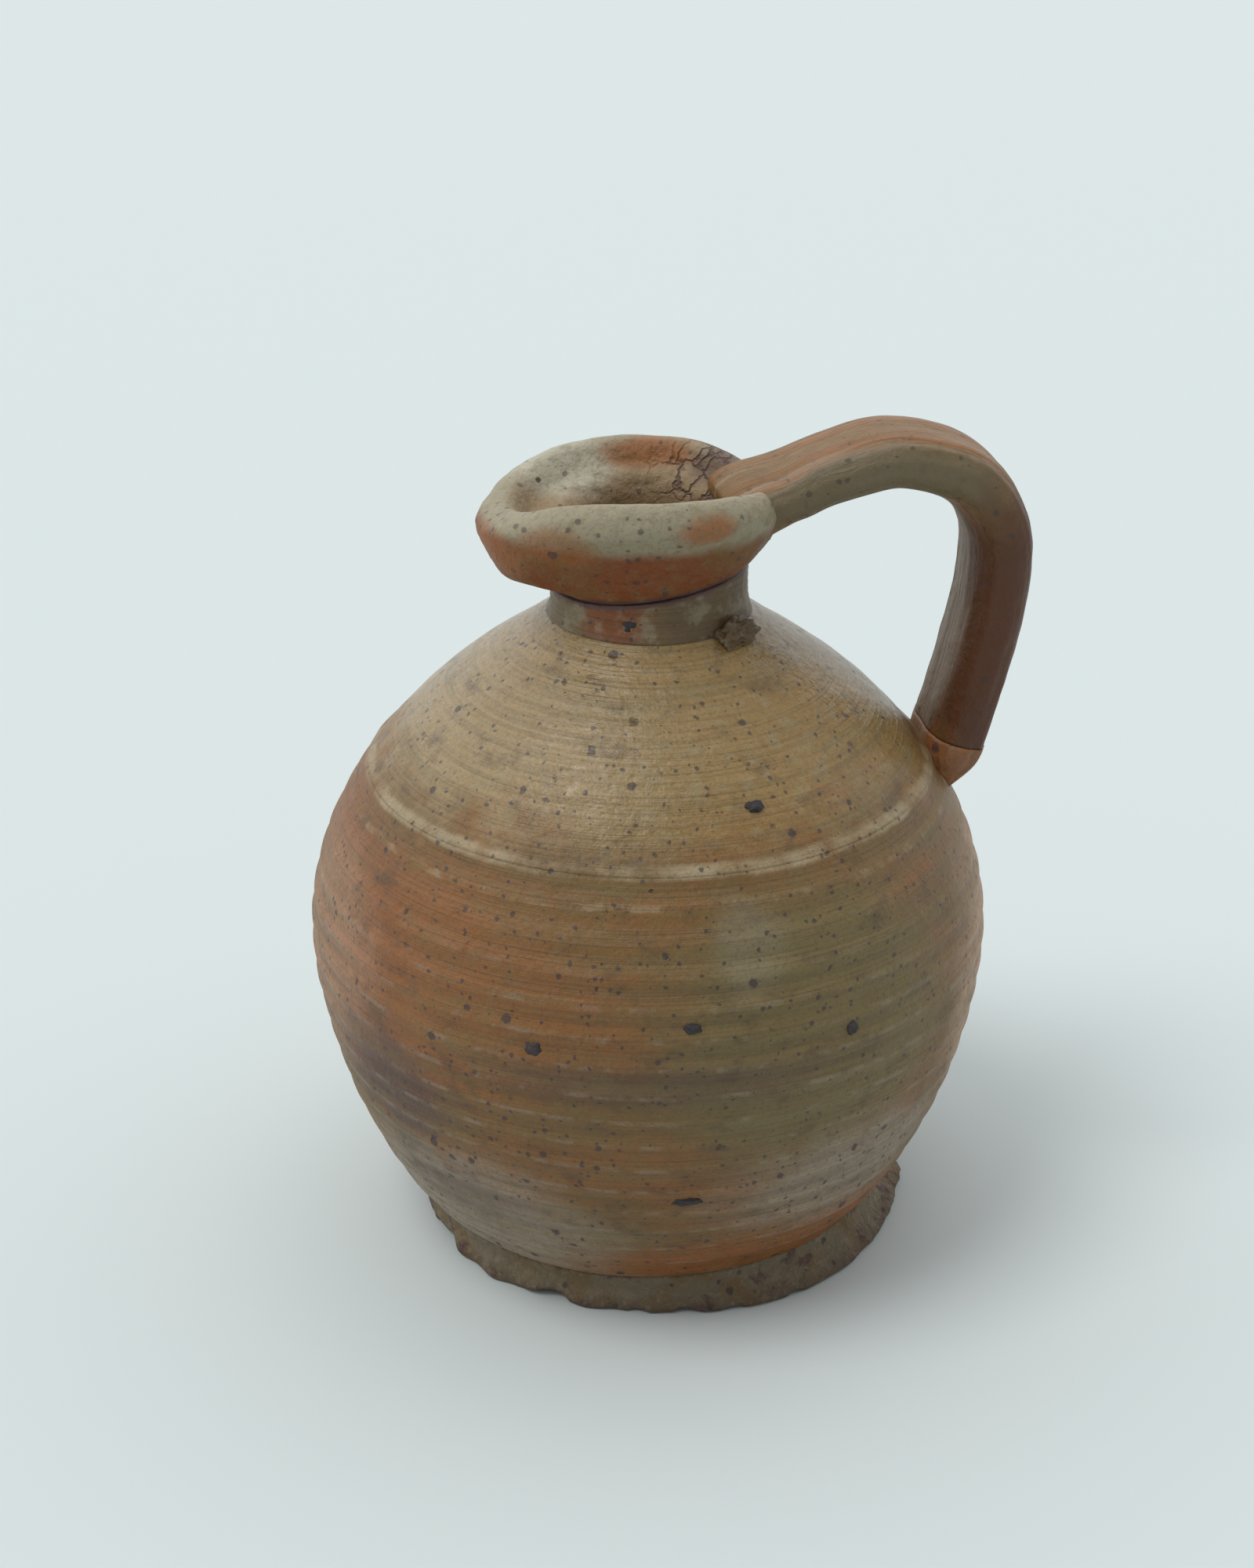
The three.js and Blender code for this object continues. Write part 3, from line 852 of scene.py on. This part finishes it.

# %% [markdown]
# The belly and the shoulder are one thrown wall to the eye, so one function makes both clays and
# the flashed regions run across the lute line. The regions stand where the photograph shows them
# on the near side, and carry on in the same way round the back. Two pale pink regions on the wall's
# left and right edges are painted sheen, and the lilac one low on the right is partly painted sheen.

# %% Where the flame touched the thrown wall, and painted sheen on its edges
WALL_FLASHES_AND_SHEEN = [
    ((-60, -62, 100), (45, 40, 28), 0.35, 0.7, FLAME, 0.5),
    ((-84, -20, 100), (22, 45, 34), 0.35, 0.7, RUST, 0.35),
    ((30, -20, 16), (84, 84, 16), 0.3, 0.5, FLAME, 0.9),
    ((30, -82, 92), (42, 34, 38), 0.35, 0.7, OLIVE, 0.85),
    ((20, 85, 80), (60, 40, 36), 0.35, 0.7, OLIVE, 0.7),
    ((-50, -48, 28), (34, 34, 25), 0.4, 0.9, LILAC, 0.85),
    ((60, 50, 40), (30, 40, 26), 0.35, 0.7, LILAC, 0.45),
    # Painted sheen: the next two pale pink regions brighten the wall's right and left edges.
    ((86, -24, 72), (20, 36, 42), 0.5, 1.0, PAINTED_EDGE_SHEEN, 0.9),
    ((-88, -26, 94), (13, 34, 34), 0.5, 1.0, PAINTED_EDGE_SHEEN, 0.4),
    # Partly painted sheen: real lilac flashing, laid on more strongly here to stand for sheen.
    ((38, -66, 44), (32, 30, 16), 0.5, 1.0, LILAC, 0.75),
    ((-74, -48, 66), (19, 21, 16), 0.6, 1.6, PURPLE, 0.8),
    ((-52, -52, 36), (20, 20, 8), 0.6, 1.6, PURPLE, 0.5),
    ((-10, -84, 83), (44, 20, 5.5), 0.7, 1.4, PURPLE, 0.5),
    ((-70, 50, 60), (25, 25, 16), 0.5, 1.2, PURPLE, 0.6),
]
print("flashed regions on the wall:", len(WALL_FLASHES_AND_SHEEN))

# %% [markdown]
# Ash falls on what faces up and melts there, so it glazes the shoulder in ochre and thins out
# below the lute line. Small mottles break it up, and one pale drip ran over the line in front.

# %% Ash glaze on the upper half
def ash_glaze(clay, glossy):
    ash = clay.region((0, 0, 182), (110, 110, 56), 0.16, 0.55)
    pale = clay.region((-45, -35, 160), (48, 48, 42), 0.6, 0.8)
    mottle = clay.group("cloudy_patches", Scale=230.0, Low=0.5, High=0.68)
    brown = clay.group(
        "cloudy_patches", Scale=95.0, Low=0.52, High=0.7, Offset=(3, 1, 2), Stretch=(1, 1, 1.6))
    drip = clay.region((12, -83, 116), (8, 14, 11), 0.5, 1.3)
    clay.cover(ash, OCHRE, 0.8)
    clay.cover(clay.times(ash, pale), STRAW, 0.3)
    clay.cover(clay.times(mottle, ash), STRAW, 0.42)
    clay.cover(mottle, OLIVE, 0.35)
    clay.cover(brown, UMBER, 0.5)
    clay.cover(drip, ASH, 0.32)
    clay.rougher(ash, glossy)
    clay.rougher(clay.times(mottle, 0.5), 0.62)


# %% [markdown]
# The wheel leaves fine and broad lines. On the lower half dark glaze lies in the grooves between
# the throwing ridges and pale dashes show on their worn crests. The lute line is pale where slip
# stands proud, and a thinner line runs just below it.

# %% Marks of the wheel and of the lute
LUTE_LINE, SECOND_LINE = 131.5, 124.6


def wheel_marks(clay):
    fine = clay.group("wheel_lines", Fineness=1500.0, Low=0.42, High=0.7)
    broad = clay.group("wheel_lines", Fineness=330.0, Low=0.5, High=0.66)
    low_half = clay.region((0, 0, 58), (130, 130, 66), 0.2, 0.3)
    cloudy = clay.group("cloudy_patches", Scale=38.0, Low=0.4, High=0.62, Offset=(1, 8, 4))
    torn = clay.group("cloudy_patches", Scale=120.0, Low=0.46, High=0.6, Offset=(7, 7, 7))
    worn = clay.group("cloudy_patches", Scale=55.0, Low=0.34, High=0.6, Offset=(5, 2, 3))
    groove = clay.times(clay.group("throwing_ridge", Low=-0.2, High=-0.9), low_half)
    crest = clay.times(clay.group("throwing_ridge", Low=0.7, High=1.0), low_half)
    clay.cover(fine, UMBER, 0.26)
    clay.cover(broad, OLIVE, 0.3)
    clay.cover(clay.times(groove, cloudy), UMBER, 0.25)
    clay.cover(clay.times(crest, torn), LILAC, 0.34)
    clay.cover(clay.times(clay.band(LUTE_LINE, 2.0), worn), STRAW, 0.6)
    clay.cover(clay.times(clay.times(clay.band(SECOND_LINE, 1.1), torn), worn), STRAW, 0.4)
    clay.raise_by(fine, 0.1)


# %% [markdown]
# Iron grains of three sizes bleed through as dark specks. The larger ones leave a hollow, and the
# whole surface is slightly pitted, as a thin glaze is over coarse clay.

# %% Iron specks, grain and pits
def iron_and_pits(clay):
    grain = clay.group("cloudy_patches", Scale=1100.0, Low=0.45, High=0.75)
    small = clay.group("iron_specks", Scale=560.0, Share=0.3, Size=0.36)
    medium = clay.group("iron_specks", Scale=240.0, Share=0.1, Size=0.3)
    large = clay.group("iron_specks", Scale=95.0, Share=0.07, Size=0.15)
    clay.cover(grain, UMBER, 0.42)
    clay.cover(small, IRON, 0.75)
    clay.cover(medium, IRON, 0.8)
    clay.cover(large, IRON, 0.8)
    clay.raise_by(clay.group("cloudy_patches", Scale=420.0, Low=0.35, High=0.75), 0.14)
    clay.raise_by(clay.group("cloudy_patches", Scale=120.0, Low=0.3, High=0.7), 0.24)
    clay.raise_by(large, -0.5)
    clay.raise_by(medium, -0.15)


# %% [markdown]
# The wall's clay puts those layers together in the order of the firing. Belly and shoulder differ
# in gloss alone, because more ash melted on the shoulder.

# %% Clay of the thrown wall
def thrown_clay(name, glossy):
    clay = Clay(name, EARTH, 0.52)
    warm = clay.group("cloudy_patches", Scale=16.0, Low=0.42, High=0.6, Stretch=(1, 1, 2.2))
    clay.cover(warm, FLAME, 0.45)
    clay.cover_regions(WALL_FLASHES_AND_SHEEN)
    ash_glaze(clay, glossy)
    wheel_marks(clay)
    iron_and_pits(clay)
    return clay.finish()


belly_clay = thrown_clay("flashed_belly", 0.3)
shoulder_clay = thrown_clay("ash_shoulder", 0.2)
print("wall clays:", belly_clay.name, shoulder_clay.name)

# %% [markdown]
# The neck is brown with two flashed patches, and painted shade darkens it round the clay dab. The
# mouth is rusty under its roll, where no ash fell, and grey-green on top. Its dish is tan, with
# purple cracks beside the strap. A dark purple line of painted shade lies in the crevice where neck
# and mouth meet.

# %% Clay of the neck and the mouth
def neck_finish():
    clay = Clay("neck_clay", NECK_BROWN, 0.5)
    clay.cover_regions([
        ((-14, -22, 177), (11, 8, 7), 0.35, 0.7, RUST, 0.85),
        ((15, 22, 177), (14, 9, 7), 0.35, 0.7, RUST, 0.6),
    ])
    clay.cover(clay.group("wheel_lines", Fineness=1400.0, Low=0.45, High=0.65), UMBER, 0.35)
    # Painted shade: this darkens the neck and the clay dab round the place where the dab sits.
    clay.cover(clay.region((14, -20, 177), (16, 12, 14), 0.4, 0.8), UMBER, 0.5)
    clay.cover(clay.group("cloudy_patches", Scale=150.0, Low=0.5, High=0.65), ASH, 0.4)
    # Painted shade: a dark purple line along the crevice where the mouth sits on the neck.
    clay.cover(clay.band(182, 1.5, MOUTH_TILT), PURPLE, 0.95)
    clay.cover(clay.group("iron_specks", Scale=520.0, Share=0.35, Size=0.34), IRON, 0.7)
    clay.raise_by(clay.group("cloudy_patches", Scale=400.0, Low=0.3, High=0.75), 0.2)
    return clay.finish()


def mouth_finish():
    clay = Clay("rim_clay", RUST, 0.56)
    clay.cover(clay.group("cloudy_patches", Scale=60.0, Low=0.45, High=0.65), EARTH, 0.6)
    clay.cover_regions([
        ((-2, 0, 213), (70, 70, 19), 0.1, 0.18, ASH, 0.93),
        ((-4, 0, 203), (31, 27, 16), 0.1, 0.25, DISH_TAN, 0.9),
        ((-20, 20, 204), (14, 12, 8), 0.4, 0.6, PALE_RIM, 0.8),
    ])
    cracks = clay.group("hair_cracks", Scale=170.0, Width=0.1)
    cracked = clay.times(cracks, clay.region((16, 10, 203), (15, 17, 9)))
    clay.cover(cracked, PURPLE, 0.9)
    clay.raise_by(cracked, -0.5)
    clay.cover_regions([
        ((-38, -8, 192), (8, 12, 6), 0.4, 1.3, FLAME, 0.75),
        ((-26, -24, 197), (9, 8, 5), 0.4, 1.3, FLAME, 0.6),
        ((10, -32, 202), (9, 5, 3.5), 0.5, 1.5, FLAME, 0.8),
        ((6, 24, 205), (14, 5, 4), 0.4, 1.2, FLAME, 0.8),
        ((21, 12, 203), (7, 11, 6), 0.5, 1.5, PURPLE, 0.7),
    ])
    specks = clay.group("iron_specks", Scale=150.0, Share=0.16, Size=0.24)
    # Painted shade: the same dark purple line on the mouth's side of the crevice at the neck.
    clay.cover(clay.band(182.6, 1.7, MOUTH_TILT), PURPLE, 0.95)
    clay.cover(clay.group("cloudy_patches", Scale=330.0, Low=0.48, High=0.7), OLIVE, 0.4)
    clay.cover(clay.group("cloudy_patches", Scale=900.0, Low=0.5, High=0.7), UMBER, 0.3)
    clay.cover(clay.group("iron_specks", Scale=420.0, Share=0.28, Size=0.36), IRON, 0.6)
    clay.cover(specks, PURPLE, 0.9)
    clay.raise_by(clay.group("cloudy_patches", Scale=300.0, Low=0.3, High=0.75), 0.32)
    clay.raise_by(specks, -0.4)
    return clay.finish()


neck_clay = neck_finish()
mouth_clay = mouth_finish()
print("neck and mouth clays:", neck_clay.name, mouth_clay.name)

# %% [markdown]
# The strap is tan on its top, streaked lengthwise by pulling, grey-green on its near side and deep
# red-brown towards its root. The wedge is the same clay but paler. Patches stretched along the
# strap stand for the streaks, which is simpler than giving the strap its own coordinates.

# %% Clay of the strap and the wedge
def strap_finish(name, base, scorch):
    clay = Clay(name, base, 0.52)
    clay.cover(clay.region((60, 0, 224), (80, 40, 19), 0.25, 0.4), TAN, 0.9)
    streak = clay.group("cloudy_patches", Scale=40.0, Low=0.44, High=0.6, Stretch=(0.35, 6, 0.5))
    grey = clay.group(
        "cloudy_patches", Scale=40.0, Low=0.5, High=0.66, Offset=(4, 4, 4), Stretch=(0.4, 5, 0.5))
    clay.cover(streak, FLAME, 0.6)
    clay.cover(grey, LILAC, 0.45)
    clay.cover_regions([
        ((52, -17, 206), (40, 6.5, 14), 0.3, 0.6, GREY_GREEN, 0.88),
        ((96, -8, 158), (26, 32, 46), 0.3, 0.5, SCORCHED, scorch),
        ((76, 4, 168), (9, 14, 38), 0.25, 0.3, LILAC, 0.6),
    ])
    clay.cover(clay.group("cloudy_patches", Scale=260.0, Low=0.5, High=0.7), UMBER, 0.3)
    clay.cover(clay.group("iron_specks", Scale=420.0, Share=0.28, Size=0.34), IRON, 0.6)
    clay.cover(clay.group("iron_specks", Scale=110.0, Share=0.12, Size=0.26), PURPLE, 0.9)
    clay.raise_by(streak, 0.3)
    clay.raise_by(clay.group("cloudy_patches", Scale=330.0, Low=0.3, High=0.75), 0.22)
    return clay.finish()


strap_clay = strap_finish("strap_clay", EARTH, scorch=0.93)
pad_clay = strap_finish("wedge_clay", WEDGE_RED, scorch=0.2)
print("strap clays:", strap_clay.name, pad_clay.name)

# %% [markdown]
# The foot got little ash and much wear, so it is dull and rough. It is darker along its lower
# edge, with purple patches like old broken faces. The grit is iron-rich stone, burnt nearly black.

# %% Clay of the foot, and the stones
def foot_finish():
    clay = Clay("foot_clay", FOOT_BROWN, 0.68)
    broken = clay.group("cloudy_patches", Scale=110.0, Low=0.55, High=0.64, Offset=(2, 5, 1))
    clay.cover(clay.group("cloudy_patches", Scale=75.0, Low=0.46, High=0.6), EARTH, 0.6)
    # Darker along the foot's lower edge.
    clay.cover(clay.region((0, 0, 0), (140, 140, 3.6), 0.5, 0.8), UMBER, 0.6)
    clay.cover(broken, PURPLE, 0.9)
    clay.cover(clay.group("cloudy_patches", Scale=500.0, Low=0.5, High=0.7), ASH, 0.3)
    clay.cover(clay.group("iron_specks", Scale=330.0, Share=0.35, Size=0.36), IRON, 0.7)
    clay.raise_by(clay.group("cloudy_patches", Scale=260.0, Low=0.3, High=0.75), 0.8)
    return clay.finish()


def stone_finish():
    clay = Clay("burnt_grit", BURNT, 0.4)
    clay.cover(clay.group("cloudy_patches", Scale=300.0, Low=0.5, High=0.7), PURPLE, 0.7)
    clay.cover(clay.group("cloudy_patches", Scale=900.0, Low=0.6, High=0.75), LILAC, 0.1)
    clay.raise_by(clay.group("cloudy_patches", Scale=700.0, Low=0.3, High=0.7), 0.25)
    return clay.finish()


foot_clay = foot_finish()
grit = stone_finish()
print("foot and stones:", foot_clay.name, grit.name)

# %% [markdown]
# ## Joining looks to the frame
# Each fine piece hides the imported solid that it stands for and rides on the jug's one body.

# %% Dress the pieces
DRESS = [
    (bowl, "body_bowl", belly_clay, "belly_clay"),
    (shoulder, "shoulder_dome", shoulder_clay, "ash_shoulder"),
    (neck, "neck_collar", neck_clay, "neck_clay"),
    (mouth, "mouth", mouth_clay, "rim_clay"),
    (handle, "handle_strap", strap_clay, "strap_clay"),
    (pad, "handle_root_pad", pad_clay, "pad_clay"),
    (foot, "foot_ring", foot_clay, "foot_clay"),
    (dab, "neck_lump", neck_clay, "neck_clay"),
    *((piece, name, grit, "grit") for name, piece in stones.items()),
]
for piece, cad_node, material, slot in DRESS:
    piece.data.materials.clear()
    piece.data.materials.append(material)
    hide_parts(cad_node)
    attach(piece, "root")
print("pieces dressed:", len(DRESS))

# %% [markdown]
# ## Floor and light
# The photograph was taken on a pale sweep under one broad light, above and to the left. White
# surfaces stand behind and beside the jug, so its edges are brighter than its front. A sun with a
# wide disc gives the soft shadow without lighting one end of the floor more than the other.

# %% Floor
def floor_material():
    material = bpy.data.materials.new("pale_sweep")
    material.use_nodes = True
    shader = material.node_tree.nodes["Principled BSDF"]
    shader.inputs["Base Color"].default_value = (*PALE_SWEEP, 1)
    shader.inputs["Roughness"].default_value = 0.9
    return material


FLOOR_HALF = 8
CORNERS = ((-1, -1), (1, -1), (1, 1), (-1, 1))
mesh = bpy.data.meshes.new("floor")
mesh.from_pydata([(x * FLOOR_HALF, y * FLOOR_HALF, 0) for x, y in CORNERS], [], [(0, 1, 2, 3)])
floor = bpy.data.objects.new("floor", mesh)
bpy.context.scene.collection.objects.link(floor)
floor.data.materials.append(floor_material())
print("floor:", 2 * FLOOR_HALF, "m square")

# %% [markdown]
# The jug's shadow falls to the right and a little away from the camera, so the lamp stands on the
# other side of it. A wide angle makes the shadow's edge soft, as a large window does.

# %% Lamp
SUN_FROM = (-0.435, -0.161, 0.879)
SUN_STRENGTH = 1.12
SUN_WIDTH = math.radians(28)

sun_data = bpy.data.lights.new("overhead_left", "SUN")
sun_data.energy = SUN_STRENGTH
sun_data.angle = SUN_WIDTH
sun = bpy.data.objects.new("overhead_left", sun_data)
sun.rotation_euler = Vector(SUN_FROM).to_track_quat("Z", "Y").to_euler()
bpy.context.scene.collection.objects.link(sun)
print("lamp:", sun.name)

# %% [markdown]
# The room is the world's own light. It grows from dim on the camera's side to bright behind the
# jug, which leaves the front of the clay deep in colour and rims its sides with light.

# %% Room: bright behind and at the sides, dim behind the camera
DIM, BRIGHT = 0.34, 1.16


def room():
    world = bpy.data.worlds.new("bright_room")
    world.use_nodes = True
    tree = world.node_tree
    away = node(tree, "ShaderNodeSeparateXYZ")
    feed(tree, away.inputs[0], node(tree, "ShaderNodeTexCoord").outputs["Generated"])
    strength = ramp(tree, away.outputs[1], -0.75, 0.35, DIM, BRIGHT)
    backdrop = tree.nodes["Background"]
    backdrop.inputs["Color"].default_value = (0.95, 0.98, 1.0, 1)
    feed(tree, backdrop.inputs["Strength"], strength)
    return world


bpy.context.scene.world = room()
bpy.context.scene.view_settings.view_transform = "Standard"
print("room:", bpy.context.scene.world.name)
